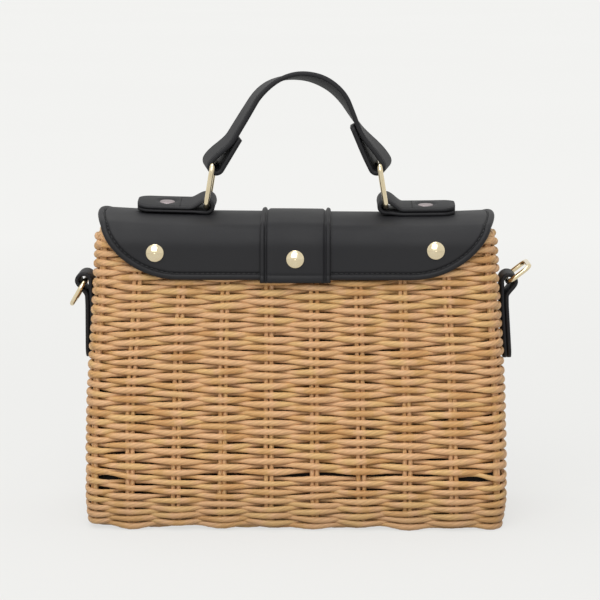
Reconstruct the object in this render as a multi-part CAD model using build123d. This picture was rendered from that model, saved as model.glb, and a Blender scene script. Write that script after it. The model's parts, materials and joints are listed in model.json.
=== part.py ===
from build123d import *
import math
import os

# Woven box, measured over the tops of its cords
base_width = 232
base_depth = 95
rim_width = 219
rim_depth = 72
rim_height = 162
corner_radius = 16
wall_thickness = 7.5
base_thickness = 7
rim_rounding = 3.6
base_rounding = 2.4

# Weave: upright stakes, and rows of cord that pass over and under them
stakes_per_face = 8
stakes_per_side = 3
stake_shift = -2
float_flat = 9
float_relief = 2.6
row_pitch = 2.53
lower_row_pitch = 2.2
corner_steps = 3

# Loose course near the base, where the box can be seen through beside each stake
slot_course_low = 28
slot_course_height = 4.4
slot_course_inset = 1.2
slot_height = 2.8
slot_stake_gap = 1.4

# Lining
lining_gap = 0.3
lining_thickness = 1
lining_drop = 2

# Leather cover: apron riveted to one face, top panel and flap that swing together
leather_thickness = 2.4
seat_gap = 0.3
crown_rise = 4
cover_side_half = 104.5
cover_side_bulge = 2.5
cover_drop = 25.5
cover_corner_width = 42
cover_corner_rise = 2
cover_corner_handle_shares = ((0.03, 0.36), (0.44, 0.99))
fold_angle = 45
fold_gap_angle = 2
crown_seat_gap = 0.05

# Centre band with a folded ridge along each edge
band_width = 38
band_thickness = 1.4
band_drop = 27
band_ridge_width = 3
band_ridge_height = 0.7

# Domed rivets and the burrs on their inner ends
rivet_cap_diameter = 9.4
rivet_cap_height = 2.6
rivet_cap_skirt = 0.7
rivet_post_diameter = 3
rivet_hole_clearance = 0.2
burr_diameter = 8
burr_thickness = 1.2
flat_rivet_diameter = 8.4
flat_rivet_thickness = 0.5
flat_rivet_recess = 0.7
flat_rivet_margin = 0.5
rear_rivet_reach = 75
left_rivet_drop = 11
centre_rivet_drop = 14
right_rivet_drop = 9.5

# Magnetic catch let into the flap and the wall
catch_drop = 16
magnet_diameter = 14
magnet_thickness = 1.3
keeper_diameter = 15
keeper_thickness = 1.5
catch_clearance = 0.1

# Handle tabs: one strap each, folded round a ring and riveted to the top panel
tab_thickness = 2.3
tab_slit = 0.2
tab_width = 24
tab_length = 38
tab_end_rounding = 7
tab_neck = 11
tab_loop_radius = 1.9
tab_rivet_from_end = 16
handle_ring_reach = 49

# Handle rings
ring_wire = 2.8
ring_width = 27.8
ring_height = 22.8
ring_loop_rounding = 1.9
ring_bar_rounding = 3.2
ring_lean = 9.3

# Handle strap
strap_thickness = 2.6
strap_width = 21
strap_slit = 0.2
strap_loop_radius = 2.3
strap_neck = 11
strap_tail = 26
strap_left_rise = 58.5
strap_right_rise = 62
strap_straight = 10.7
strap_open_offset = 0.4

# Side tabs and the rings for a shoulder strap
side_tab_thickness = 2.2
side_tab_width = 20
side_tab_length = 43
side_tab_neck = 12
side_tab_loop_radius = 3.2
side_tab_drop = 31
side_tab_rivet_from_end = 21
side_ring_wire = 2.6
side_ring_width = 23.4
side_ring_height = 14.5
side_ring_rounding = 5
side_ring_bar_rounding = 4
left_ring_rest = -60
right_ring_rest = 38

# Every cut runs past what it cuts by this much
overrun = 10

# Heights that hang from the rim
cover_low = rim_height - cover_drop
cover_corner_top = rim_height + cover_corner_rise
band_low = rim_height - band_drop
catch_height = rim_height - catch_drop
side_tab_pivot_height = rim_height - side_tab_drop

# Slopes of the walls, in degrees from upright
face_lean = math.degrees(math.atan2((base_depth - rim_depth) / 2, rim_height))
side_lean = math.degrees(math.atan2((base_width - rim_width) / 2, rim_height))


def half_sizes(height):
    """Half the box's width and depth over its cords at a height."""
    share = height / rim_height
    half_width = (base_width + (rim_width - base_width) * share) / 2
    half_depth = (base_depth + (rim_depth - base_depth) * share) / 2
    return half_width, half_depth


def stake_pitch(half_length, count):
    """Distance between stakes that share out a wall from corner to corner."""
    return 2 * (half_length - corner_radius) / count


def weave_ring(height, inset, row):
    """One course round the box: its points, their columns and which of them stand proud."""
    half_width, half_depth = half_sizes(height)
    points = []
    columns = []
    proud = []
    column = 0
    for turn in range(4):
        along = Vector(1, 0).rotate(Axis.Z, 90 * turn)
        outward = Vector(0, -1).rotate(Axis.Z, 90 * turn)
        on_face = turn % 2 == 0
        reach = half_depth if on_face else half_width
        half_length = half_width if on_face else half_depth
        count = stakes_per_face if on_face else stakes_per_side
        pitch = stake_pitch(half_length, count)
        for stake in range(count):
            high = row is not None and (row + column) % 2 == 0
            sunk = inset if row is None or high else inset + float_relief
            middle = (stake - (count - 1) / 2) * pitch + along.X * stake_shift
            for end in (-1, 1):
                place = along * (middle + end * float_flat / 2) + outward * (reach - sunk)
                points.append(place + Vector(0, 0, height))
                columns.append(column)
                proud.append(high)
            column += 1
        high = row is not None and (row + column) % 2 == 0
        sunk = inset if row is None or high else inset + float_relief
        centre = along * (half_length - corner_radius) + outward * (reach - corner_radius)
        for step in range(corner_steps + 1):
            spoke = outward.rotate(Axis.Z, 90 * step / corner_steps)
            points.append(centre + spoke * (corner_radius - sunk) + Vector(0, 0, height))
            columns.append(column)
            proud.append(high)
        column += 1
    return points, columns, proud, row


def polygon(points):
    """A flat face through the points."""
    return Face(Wire.make_polygon(points))


def weave_faces(lower, upper):
    """The band of faces between two courses: flat over a stake, folded between stakes."""
    low_points, columns, low_proud, low_row = lower
    high_points, _, high_proud, high_row = upper
    both_plain = low_row is None and high_row is None
    faces = []
    for here in range(len(columns)):
        beside = (here + 1) % len(columns)
        a, b = low_points[here], low_points[beside]
        c, d = high_points[beside], high_points[here]
        if both_plain or columns[here] == columns[beside]:
            faces.append(polygon([a, b, c, d]))
        elif low_proud[here] or high_proud[beside]:
            faces.append(polygon([a, b, d]))
            faces.append(polygon([b, c, d]))
        else:
            faces.append(polygon([a, b, c]))
            faces.append(polygon([a, c, d]))
    return faces


def row_heights(low, high, pitch):
    """Middles of whole rows that fill the space between two heights."""
    count = round((high - low) / pitch)
    return [low + (row + 0.5) * (high - low) / count for row in range(count)]


def woven_block():
    """The outside of the weave as one closed block."""
    slot_course_high = slot_course_low + slot_course_height
    shoulder_low = rim_height - rim_rounding
    rings = [weave_ring(0, base_rounding, None)]
    row = 0
    for height in row_heights(0, slot_course_low, lower_row_pitch):
        rings.append(weave_ring(height, 0, row))
        row += 1
    rings.append(weave_ring(slot_course_low, slot_course_inset, None))
    rings.append(weave_ring(slot_course_high, slot_course_inset, None))
    for height in row_heights(slot_course_high, shoulder_low, row_pitch):
        rings.append(weave_ring(height, 0, row))
        row += 1
    for turn in (30, 60, 90):
        rise = rim_rounding * math.sin(math.radians(turn))
        inset = rim_rounding * (1 - math.cos(math.radians(turn)))
        rings.append(weave_ring(shoulder_low + rise, inset, None))
    faces = [polygon(rings[0][0]), polygon(rings[-1][0])]
    for lower, upper in zip(rings, rings[1:]):
        faces.extend(weave_faces(lower, upper))
    return Solid(Shell(faces))


def box_outline(height, inset):
    """The box's plan at a height, set in from its cords, with stepped corners."""
    half_width, half_depth = half_sizes(height)
    radius = corner_radius - inset
    points = []
    for turn in range(4):
        on_face = turn % 2 == 0
        along = Vector(1, 0).rotate(Axis.Z, 90 * turn)
        outward = Vector(0, -1).rotate(Axis.Z, 90 * turn)
        length = (half_width if on_face else half_depth) - corner_radius
        reach = (half_depth if on_face else half_width) - corner_radius
        for step in range(corner_steps + 1):
            spoke = outward.rotate(Axis.Z, 90 * step / corner_steps)
            place = along * length + outward * reach + spoke * radius
            points.append(place + Vector(0, 0, height))
    return points


def box_core(inset, low, high):
    """A solid that fills the box between two heights, set in from its cords."""
    lower = box_outline(low, inset)
    upper = box_outline(high, inset)
    faces = [polygon(lower), polygon(upper)]
    for here in range(len(lower)):
        beside = (here + 1) % len(lower)
        faces.append(polygon([lower[here], lower[beside], upper[beside], upper[here]]))
    return Solid(Shell(faces))


def slot_cutters():
    """Bars that open the loose course between neighbouring stakes on all four sides."""
    middle = slot_course_low + slot_course_height / 2
    half_width, half_depth = half_sizes(middle)
    cutters = []
    for turn in range(4):
        on_face = turn % 2 == 0
        count = stakes_per_face if on_face else stakes_per_side
        pitch = stake_pitch(half_width if on_face else half_depth, count)
        length = pitch - float_flat - 2 * slot_stake_gap
        reach = half_depth if on_face else half_width
        bar = Box(length, 2 * wall_thickness + overrun, slot_height)
        for gap in range(count - 1):
            shift = stake_shift * math.cos(math.radians(90 * turn))
            place = (gap - (count - 2) / 2) * pitch + shift
            cutters.append(Rot(0, 0, 90 * turn) * Pos(place, -reach, middle) * bar)
    return cutters


# Leather profile, seen from the side: drop, shoulder over the rim, crown, shoulder, drop
shoulder_height = rim_height - rim_rounding
shoulder_reach = half_sizes(shoulder_height)[1] - rim_rounding / math.cos(math.radians(face_lean))
crown_angle = 90 - 2 * math.degrees(math.atan2(crown_rise, shoulder_reach))
leather_inner = seat_gap
leather_outer = leather_inner + leather_thickness
band_outer = leather_outer + band_thickness
ridge_outer = band_outer + band_ridge_height
crown_top = shoulder_height + rim_rounding + crown_rise
crown_radius = rim_rounding + shoulder_reach / math.cos(math.radians(crown_angle))
near = -1
far = 1


def shoulder_point(side, angle, offset):
    """A point round a shoulder, at an angle up from level and an offset from the rim."""
    radius = rim_rounding + offset
    turn = math.radians(angle)
    reach = shoulder_reach + radius * math.cos(turn)
    return Vector(0, side * reach, shoulder_height + radius * math.sin(turn))


def drop_point(side, height, offset):
    """A point on the flat part that hangs beside a wall."""
    top = shoulder_point(side, face_lean, offset)
    spread = (top.Z - height) * math.tan(math.radians(face_lean))
    return Vector(0, top.Y + side * spread, height)


def shoulder_arc(side, first, last, offset):
    """Start, middle and end of an arc round a shoulder."""
    return [shoulder_point(side, angle, offset) for angle in (first, (first + last) / 2, last)]


def apron_path(offset, low):
    """The riveted part: up the wall and round to the fold."""
    return [
        [drop_point(near, low, offset), shoulder_point(near, face_lean, offset)],
        shoulder_arc(near, face_lean, fold_angle, offset),
    ]


def cover_path(offset, low):
    """The part that swings: from the fold over the crown and down the far wall."""
    crown = Vector(0, 0, crown_top + offset)
    return [
        shoulder_arc(near, fold_angle + fold_gap_angle, crown_angle, offset),
        [shoulder_point(near, crown_angle, offset), crown, shoulder_point(far, crown_angle, offset)],
        shoulder_arc(far, crown_angle, face_lean, offset),
        [shoulder_point(far, face_lean, offset), drop_point(far, low, offset)],
    ]


def path_edge(points):
    """A line through two points or an arc through three."""
    if len(points) == 2:
        return Edge.make_line(*points)
    return Edge.make_three_point_arc(*points)


def skin(path, low, inner, outer, width):
    """A sheet of leather that follows a path, between two offsets."""
    inside = path(inner, low)
    outside = path(outer, low)
    edges = [path_edge(points) for points in outside]
    edges.append(Edge.make_line(outside[-1][-1], inside[-1][-1]))
    edges.extend(path_edge(points[::-1]) for points in inside[::-1])
    edges.append(Edge.make_line(inside[0][0], outside[0][0]))
    return extrude(Face(Wire(edges)), amount=width / 2, dir=(1, 0, 0), both=True)


def corner_cutter(side):
    """What is cut away beside the rounded lower corner of a leather face."""
    top = Vector(side * cover_side_half, 0, cover_corner_top)
    foot = Vector(side * (cover_side_half - cover_corner_width), 0, cover_low)
    handles = []
    for across, down in cover_corner_handle_shares:
        handles.append(top + Vector((foot.X - top.X) * across, 0, (foot.Z - top.Z) * down))
    outer_x = side * (cover_side_half + cover_side_bulge + overrun)
    edges = [
        Edge.make_bezier(top, handles[0], handles[1], foot),
        Edge.make_line(foot, Vector(foot.X, 0, foot.Z - overrun)),
        Edge.make_line(Vector(foot.X, 0, foot.Z - overrun), Vector(outer_x, 0, foot.Z - overrun)),
        Edge.make_line(Vector(outer_x, 0, foot.Z - overrun), Vector(outer_x, 0, top.Z)),
        Edge.make_line(Vector(outer_x, 0, top.Z), top),
    ]
    return extrude(Face(Wire(edges)), amount=base_depth, dir=(0, 1, 0), both=True)


def cover_plan():
    """The cover's plan: both ends bow out a little at the middle of the depth."""
    half_depth = shoulder_reach + rim_rounding + leather_outer
    middle = cover_side_half + cover_side_bulge
    corners = [Vector(x, y) for x, y in (
        (-cover_side_half, -half_depth),
        (cover_side_half, -half_depth),
        (cover_side_half, half_depth),
        (-cover_side_half, half_depth),
    )]
    edges = [
        Edge.make_line(corners[0], corners[1]),
        Edge.make_three_point_arc(corners[1], Vector(middle, 0), corners[2]),
        Edge.make_line(corners[2], corners[3]),
        Edge.make_three_point_arc(corners[3], Vector(-middle, 0), corners[0]),
    ]
    ends = extrude(Face(Wire(edges)), amount=rim_height + overrun + crown_rise, dir=(0, 0, 1))
    drops = Pos(0, 0, cover_low) * Box(2 * cover_side_half, base_depth, 2 * rim_height)
    return ends + drops


def leather_panel(path):
    """A panel of the cover, cut to its rounded outline."""
    width = 2 * (cover_side_half + cover_side_bulge)
    panel = skin(path, cover_low, leather_inner, leather_outer, width)
    panel = panel & cover_plan()
    return panel - corner_cutter(-1) - corner_cutter(1)


def band_panel(path):
    """A length of the centre band with its two folded ridges."""
    band = skin(path, band_low, leather_outer, band_outer, band_width)
    ridge = skin(path, band_low, leather_outer, ridge_outer, band_ridge_width)
    reach = (band_width - band_ridge_width) / 2
    return band + Pos(-reach, 0, 0) * ridge + Pos(reach, 0, 0) * ridge


# Rivets, in a frame whose third axis leaves the leather
def rivet_cap(grip):
    """A domed cap and the post that passes through what it holds."""
    radius = rivet_cap_diameter / 2
    shoulder = Vector(radius, 0, rivet_cap_skirt)
    crown = Vector(0, 0, rivet_cap_height)
    rise = rivet_cap_height - rivet_cap_skirt
    dome_radius = (radius**2 + rise**2) / (2 * rise)
    half_turn = math.asin(radius / dome_radius) / 2
    dome_low = rivet_cap_height - dome_radius
    middle = Vector(
        dome_radius * math.sin(half_turn), 0, dome_low + dome_radius * math.cos(half_turn)
    )
    edges = [
        Edge.make_line(Vector(0, 0, 0), Vector(radius, 0, 0)),
        Edge.make_line(Vector(radius, 0, 0), shoulder),
        Edge.make_three_point_arc(shoulder, middle, crown),
        Edge.make_line(crown, Vector(0, 0, 0)),
    ]
    dome = revolve(Face(Wire(edges)), Axis.Z)
    post = Pos(0, 0, -grip / 2) * Cylinder(rivet_post_diameter / 2, grip)
    return dome + post


def flat_rivet(grip):
    """A flat head and its post, for a rivet that lies below the leather's face."""
    head = Pos(0, 0, flat_rivet_thickness / 2) * Cylinder(flat_rivet_diameter / 2, flat_rivet_thickness)
    post = Pos(0, 0, -grip / 2) * Cylinder(rivet_post_diameter / 2, grip)
    return head + post


def flat_rivet_hole(grip):
    """The hole for a flat rivet, with a recess for its head."""
    recess = Cylinder(flat_rivet_diameter / 2 + flat_rivet_margin, flat_rivet_recess + overrun)
    return Pos(0, 0, (flat_rivet_recess + overrun) / 2) * recess + rivet_hole(grip)


def rivet_burr(grip):
    """The disc that closes a post's inner end."""
    return Pos(0, 0, -grip - burr_thickness / 2) * Cylinder(burr_diameter / 2, burr_thickness)


def rivet_hole(grip):
    """The hole that a post needs."""
    radius = rivet_post_diameter / 2 + rivet_hole_clearance
    return Pos(0, 0, -grip / 2) * Cylinder(radius, grip + rivet_cap_height)


def face_seat(side, across, height, offset):
    """Frame on a long wall at an offset from its cords, looking outward."""
    place = drop_point(side, height, offset)
    lean = math.radians(face_lean)
    outward = Vector(0, side * math.cos(lean), math.sin(lean))
    return Plane(Vector(across, place.Y, place.Z), x_dir=(1, 0, 0), z_dir=outward)


def side_seat(side, height, offset):
    """Frame on a side wall at an offset from its cords, with its first axis down the wall."""
    lean = math.radians(side_lean)
    half_width = half_sizes(height)[0]
    outward = Vector(side * math.cos(lean), 0, math.sin(lean))
    downward = Vector(side * math.sin(lean), 0, -math.cos(lean))
    place = Vector(side * half_width, 0, height) + outward * offset
    return place, downward, outward


# Folded straps, drawn flat: first axis along the strap from its loop, second axis off its seat
def fold_edges(thickness, slit, loop_radius, neck, tail):
    """Middle line of the fold: round the loop, down the neck and along the upper layer."""
    middle_radius = loop_radius + thickness / 2
    seat = thickness / 2
    centre = thickness + loop_radius
    top = centre + middle_radius
    upper = seat + thickness + slit
    turn = Vector(neck / 2, (top + upper) / 2)
    edges = [
        Edge.make_three_point_arc(Vector(0, seat), Vector(-middle_radius, centre), Vector(0, top)),
        Edge.make_tangent_arc(Vector(0, top), Vector(1, 0), turn),
    ]
    second = Edge.make_tangent_arc(Vector(neck, upper), Vector(-1, 0), turn)
    edges.append(second)
    edges.append(Edge.make_line(Vector(neck, upper), Vector(tail, upper)))
    return edges


def folded_tab(thickness, width, length, neck, loop_radius, end_rounding):
    """A strap folded double round a ring, with a rounded far end."""
    seat = thickness / 2
    edges = [Edge.make_line(Vector(length, seat), Vector(0, seat))]
    edges.extend(fold_edges(thickness, tab_slit, loop_radius, neck, length))
    tab = extrude(trace(edges, line_width=thickness), amount=width / 2, both=True)
    ends = tab.edges().filter_by(Axis.Y).group_by(Axis.X)[-1]
    return fillet(ends, end_rounding)


# Rings, with the bar in the loop at the origin and the ring rising along the third axis
def wire_ring(wire, width, height, loop_rounding, bar_rounding):
    """A closed ring of round wire, with one corner radius at the loop and another at the bar."""
    half = width / 2
    outline = Polyline((-half, 0), (half, 0), (half, height), (-half, height), close=True)
    outline = make_face(outline)
    outline = fillet(outline.vertices().group_by(Axis.Y)[0], loop_rounding)
    outline = fillet(outline.vertices().group_by(Axis.Y)[-1], bar_rounding)
    path = Plane.YZ.location * outline.face().outer_wire()
    section = Plane(path @ 0, z_dir=path % 0) * Circle(wire / 2)
    return sweep(section, path=path)


def basket_holes():
    """Holes through the weave and lining for rivets, and the pocket for the keeper."""
    holes = [seat.location * rivet_hole(grip) for seat, grip in rear_rivet_seats()]
    holes.extend(seat.location * rivet_hole(grip) for seat, grip in side_rivet_seats())
    pocket = Cylinder(keeper_diameter / 2 + catch_clearance, 2 * keeper_thickness + overrun)
    pocket_lift = overrun / 2
    holes.append(keeper_seat().location * Pos(0, 0, pocket_lift) * pocket)
    return holes


def rear_rivet_seats():
    """Each rear rivet's frame under its cap, and how much it passes through."""
    inside = wall_thickness + lining_gap + lining_thickness
    plain = inside + leather_outer
    raised = inside + band_outer
    return [
        (face_seat(near, -rear_rivet_reach, rim_height - left_rivet_drop, leather_outer), plain),
        (face_seat(near, 0, rim_height - centre_rivet_drop, band_outer), raised),
        (face_seat(near, rear_rivet_reach, rim_height - right_rivet_drop, leather_outer), plain),
    ]


def side_rivet_seats():
    """Each side tab's rivet frame under its cap, and how much it passes through."""
    stack = 2 * side_tab_thickness + tab_slit - flat_rivet_recess
    grip = stack + wall_thickness + lining_gap + lining_thickness
    seats = []
    for side in (-1, 1):
        place, downward, outward = side_seat(side, side_tab_pivot_height, stack)
        place = place + downward * (side_tab_length - side_tab_rivet_from_end)
        seats.append((Plane(place, x_dir=downward, z_dir=outward), grip))
    return seats


def tab_rivet_seats():
    """Each handle tab's rivet frame under its cap, and how much it passes through."""
    stack = 2 * tab_thickness + tab_slit - flat_rivet_recess
    reach = handle_ring_reach + tab_length - tab_rivet_from_end
    place = crown_top + leather_outer + stack
    burr_sag = burr_diameter**2 / (8 * crown_radius) + crown_seat_gap
    grip = stack + leather_thickness + burr_sag
    return [(Plane((side * reach, 0, place)), grip) for side in (-1, 1)]


def keeper_seat():
    """Frame on the floor of the keeper's pocket."""
    return face_seat(far, 0, catch_height, -keeper_thickness)


def side_tab(side):
    """A tab on a side wall, with the loop for a strap ring at its upper end."""
    place, downward, outward = side_seat(side, side_tab_pivot_height, 0)
    frame = Plane(place, x_dir=downward, z_dir=downward.cross(outward))
    tab = folded_tab(
        side_tab_thickness, side_tab_width, side_tab_length, side_tab_neck,
        side_tab_loop_radius, tab_end_rounding,
    )
    seat, grip = side_rivet_seats()[(side + 1) // 2]
    return frame.location * tab - seat.location * flat_rivet_hole(grip)


def side_pivot(side):
    """Middle of a side tab's loop."""
    lift = side_tab_thickness + side_tab_loop_radius
    return side_seat(side, side_tab_pivot_height, lift)[0]


def strap_ring(side, rest):
    """A strap ring in its loop, raised by its rest angle from level."""
    ring = wire_ring(
        side_ring_wire, side_ring_width, side_ring_height, side_ring_rounding, side_ring_bar_rounding
    )
    return Location(side_pivot(side)) * Rot(0, side * (90 - rest), 0) * ring


def handle_tab(side):
    """A tab on the top panel, with its loop towards the middle and its underside on the crown."""
    place = Vector(side * handle_ring_reach, 0, crown_top + leather_outer)
    outward = Vector(side, 0, 0)
    frame = Plane(place, x_dir=outward, z_dir=outward.cross(Vector(0, 0, 1)))
    tab = folded_tab(
        tab_thickness, tab_width, tab_length, tab_neck, tab_loop_radius, tab_end_rounding
    )
    seat, grip = tab_rivet_seats()[(side + 1) // 2]
    return frame.location * tab - seat.location * flat_rivet_hole(grip)


def handle_pivot(side):
    """Middle of a handle tab's loop."""
    lift = tab_thickness + tab_loop_radius
    return Vector(side * handle_ring_reach, 0, crown_top + leather_outer + lift)


def handle_ring(side):
    """A handle ring in its tab, leaning inward."""
    ring = wire_ring(ring_wire, ring_width, ring_height, ring_loop_rounding, ring_bar_rounding)
    return Location(handle_pivot(side)) * Rot(0, -side * ring_lean, 0) * ring


def ring_bar(side):
    """Middle of the bar that a handle ring puts through the strap."""
    lean = math.radians(ring_lean)
    return handle_pivot(side) + Vector(-side * math.sin(lean), 0, math.cos(lean)) * ring_height


def strap_end(side, rise, offset):
    """Frame of a strap's folded end: first axis up the leg, second axis outward off its inside."""
    leg = Vector(-side * math.cos(math.radians(rise)), math.sin(math.radians(rise)))
    outward = Vector(side * math.sin(math.radians(rise)), math.cos(math.radians(rise)))
    bar = ring_bar(side)
    lift = strap_thickness + strap_loop_radius
    start = Vector(bar.X + side * offset, bar.Z) - outward * lift
    return start, leg, outward


def handle_strap():
    """The handle: one strap over the top, each end bowed out round a ring and laid back inside."""
    tail_lift = strap_thickness / 2
    outer_lift = tail_lift + strap_thickness + strap_slit
    edges = []
    starts = []
    legs = []
    for side, rise, offset in ((-1, strap_left_rise, 0), (1, strap_right_rise, strap_open_offset)):
        start, leg, outward = strap_end(side, rise, offset)
        fold = [Edge.make_line(Vector(strap_tail, tail_lift), Vector(0, tail_lift))]
        fold.extend(fold_edges(strap_thickness, strap_slit, strap_loop_radius, strap_neck, strap_tail))
        turned = Compound(fold)
        if side > 0:
            turned = turned.mirror(Plane.XZ)
        frame = Plane(start, x_dir=leg, z_dir=(0, 0, 1))
        edges.extend(turned.moved(frame.location).edges())
        starts.append(start + leg * strap_tail + outward * outer_lift)
        legs.append(leg)
    across = starts[1] - starts[0]
    run = (across.X * legs[1].Y - across.Y * legs[1].X) / (legs[0].X * legs[1].Y - legs[0].Y * legs[1].X)
    peak = starts[0] + legs[0] * run
    shorter = min(run, (peak - starts[1]).length)
    half_turn = math.radians((strap_left_rise + strap_right_rise) / 2)
    top_radius = (shorter - strap_straight) / math.tan(half_turn)
    edges.extend(FilletPolyline(starts[0], peak, starts[1], radius=top_radius).edges())
    profile = Plane.XZ.location * trace(edges, line_width=strap_thickness)
    return extrude(profile, amount=strap_width / 2, both=True)


def build_nodes():
    """Every separate piece of the bag, by name."""
    nodes = {}
    cavity = box_core(wall_thickness, base_thickness, rim_height + overrun)
    nodes["basket"] = woven_block() - [cavity] - slot_cutters() - basket_holes()
    lining_inset = wall_thickness + lining_gap
    lining_low = base_thickness + lining_gap
    sack = box_core(lining_inset, lining_low, rim_height - lining_drop)
    hollow = box_core(
        lining_inset + lining_thickness, lining_low + lining_thickness, rim_height + overrun
    )
    nodes["lining"] = Part() + sack - hollow - basket_holes()[:-1]

    rear_holes = [seat.location * rivet_hole(grip) for seat, grip in rear_rivet_seats()]
    nodes["rear_apron"] = leather_panel(apron_path) - rear_holes
    nodes["rear_band"] = band_panel(apron_path) - rear_holes[1]
    for name, (seat, grip) in zip(("left", "centre", "right"), rear_rivet_seats()):
        nodes[f"rear_rivet_{name}"] = seat.location * rivet_cap(grip)
        nodes[f"rear_burr_{name}"] = seat.location * rivet_burr(grip)

    magnet_seat = face_seat(far, 0, catch_height, leather_inner)
    magnet_pocket = Cylinder(magnet_diameter / 2 + catch_clearance, 2 * magnet_thickness)
    magnet = Pos(0, 0, magnet_thickness / 2) * Cylinder(magnet_diameter / 2, magnet_thickness)
    keeper = Pos(0, 0, keeper_thickness / 2) * Cylinder(keeper_diameter / 2, keeper_thickness)
    tab_holes = [seat.location * rivet_hole(grip) for seat, grip in tab_rivet_seats()]
    nodes["cover"] = leather_panel(cover_path) - magnet_seat.location * magnet_pocket - tab_holes
    nodes["cover_band"] = band_panel(cover_path)
    nodes["catch_magnet"] = magnet_seat.location * magnet
    nodes["catch_keeper"] = keeper_seat().location * keeper

    for name, side in (("left", -1), ("right", 1)):
        seat, grip = tab_rivet_seats()[(side + 1) // 2]
        nodes[f"{name}_handle_tab"] = handle_tab(side)
        nodes[f"{name}_handle_tab_rivet"] = seat.location * flat_rivet(grip)
        nodes[f"{name}_handle_tab_burr"] = seat.location * rivet_burr(grip)
        nodes[f"{name}_handle_ring"] = handle_ring(side)
        seat, grip = side_rivet_seats()[(side + 1) // 2]
        nodes[f"{name}_side_tab"] = side_tab(side)
        nodes[f"{name}_side_tab_rivet"] = seat.location * flat_rivet(grip)
        nodes[f"{name}_side_tab_burr"] = seat.location * rivet_burr(grip)
    nodes["handle"] = handle_strap()
    nodes["left_strap_ring"] = strap_ring(-1, left_ring_rest)
    nodes["right_strap_ring"] = strap_ring(1, right_ring_rest)
    return nodes


os.makedirs("parts", exist_ok=True)
for node, shape in build_nodes().items():
    export_step(shape, f"parts/{node}.step")
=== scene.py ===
import json
import math

import bmesh
import bpy
import numpy as np
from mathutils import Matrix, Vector


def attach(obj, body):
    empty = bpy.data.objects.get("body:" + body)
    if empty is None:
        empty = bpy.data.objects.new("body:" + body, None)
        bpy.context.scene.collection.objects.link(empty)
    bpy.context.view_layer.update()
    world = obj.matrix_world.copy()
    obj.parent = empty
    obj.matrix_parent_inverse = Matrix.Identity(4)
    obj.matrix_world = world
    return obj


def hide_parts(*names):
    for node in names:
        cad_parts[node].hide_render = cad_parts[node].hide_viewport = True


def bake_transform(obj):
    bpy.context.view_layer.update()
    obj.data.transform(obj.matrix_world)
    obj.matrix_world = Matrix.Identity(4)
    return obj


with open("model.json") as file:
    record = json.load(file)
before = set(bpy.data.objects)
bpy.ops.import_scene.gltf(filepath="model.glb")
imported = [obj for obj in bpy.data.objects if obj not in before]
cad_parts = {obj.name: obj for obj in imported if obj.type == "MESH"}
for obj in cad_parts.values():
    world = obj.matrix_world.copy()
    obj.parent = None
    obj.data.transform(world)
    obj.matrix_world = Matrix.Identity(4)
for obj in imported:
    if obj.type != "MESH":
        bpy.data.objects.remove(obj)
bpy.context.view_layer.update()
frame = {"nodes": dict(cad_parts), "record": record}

mm = 0.001
weld_distance = 0.004 * mm
draw = np.random.default_rng(23)

# Woven box in millimetres, over the tops of its cords
base_half_width = 116
base_half_depth = 47.5
rim_half_width = 109.5
rim_half_depth = 36
rim_height = 162
corner_radius = 16
stakes_per_face = 8
stakes_per_side = 3
stake_shift = -2
lower_rows = 13
upper_rows = 50
slot_low = 28
slot_high = 32.4
shoulder_height = 158.4
# The ends swell at mid height and the foot draws in
side_swell = 1.9
side_swell_height = 65
side_swell_spread = 60
foot_tuck = 1.6
foot_tuck_spread = 7

# Twisted cord of the weave: creases wind round it in pairs of ridge and valley
cord_lay = 24
cord_step = 1.4
ridge_shares = np.array([1, 0.95] * 5)
cord_front = 1.55
cord_back = 5.3
upper_cord = 1.83
lower_cord = 1.7
cord_spokes = 2 * np.pi * np.arange(len(ridge_shares)) / len(ridge_shares)
# Its half height and half depth as shares of its size, and what is added where it runs over or under
cord_tall_share = 0.76
over_tall_share = 0.29
under_tall_share = 0.06
cord_deep_share = 0.68
over_deep_share = 0.16
float_power = 0.9
# Hand work: how far the size, depth, height and tone of a cord stray
size_stray_share = 0.07
depth_stray = 0.12
height_stray = 0.36
hoop_tone_stray = 0.27
row_tone_stray = 0.12
run_tone_stray = 0.25
cord_tone_stray = 0.1
# Streaks in the paper: their length, their waves round the cord and what keeps two cords' streaks apart
fibre_length = 6
fibre_wrap = 2.4
row_fibres_apart = 40
run_fibres_apart = 31
# The room left under the lowest cord and over the highest
floor_gap = 0.1
rim_gap = 1

# Leather cover over the rim
rim_rounding = 3.6
crown_rise = 4
leather_thickness = 2.2
leather_outer = 2.7
shoulder_radius = 13
cover_low = 136.5
cover_side_half = 104.5
cover_side_bulge = 4
cover_corner_width = 42
cover_corner_top = 164
band_low = 135


# Small tools for meshes and materials
def linear(code):
    """A colour's sRGB hex code as linear red, green, blue and alpha."""
    shares = [int(code[place:place + 2], 16) / 255 for place in (0, 2, 4)]
    return [s / 12.92 if s <= 0.04045 else ((s + 0.055) / 1.055) ** 2.4 for s in shares] + [1]


def add_node(tree, kind, values=None, links=None, stops=None, **settings):
    """A shader node with its settings, its fixed values, its links and any colour stops."""
    node = tree.nodes.new(kind)
    for name, value in settings.items():
        setattr(node, name, value)
    for socket, value in (values or {}).items():
        node.inputs[socket].default_value = value
    for socket, source in (links or {}).items():
        tree.links.new(source, node.inputs[socket])
    for number, (place, colour) in enumerate(stops or ()):
        if number > 1:
            node.color_ramp.elements.new(place)
        node.color_ramp.elements[number].position = place
        node.color_ramp.elements[number].color = colour
    return node


def new_material(name):
    """An empty material and its node tree."""
    material = bpy.data.materials.new(name)
    material.use_nodes = True
    material.node_tree.nodes.clear()
    return material, material.node_tree


def show(tree, shader):
    """Sends a shader to the surface."""
    add_node(tree, "ShaderNodeOutputMaterial", links={"Surface": shader.outputs[0]})


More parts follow.
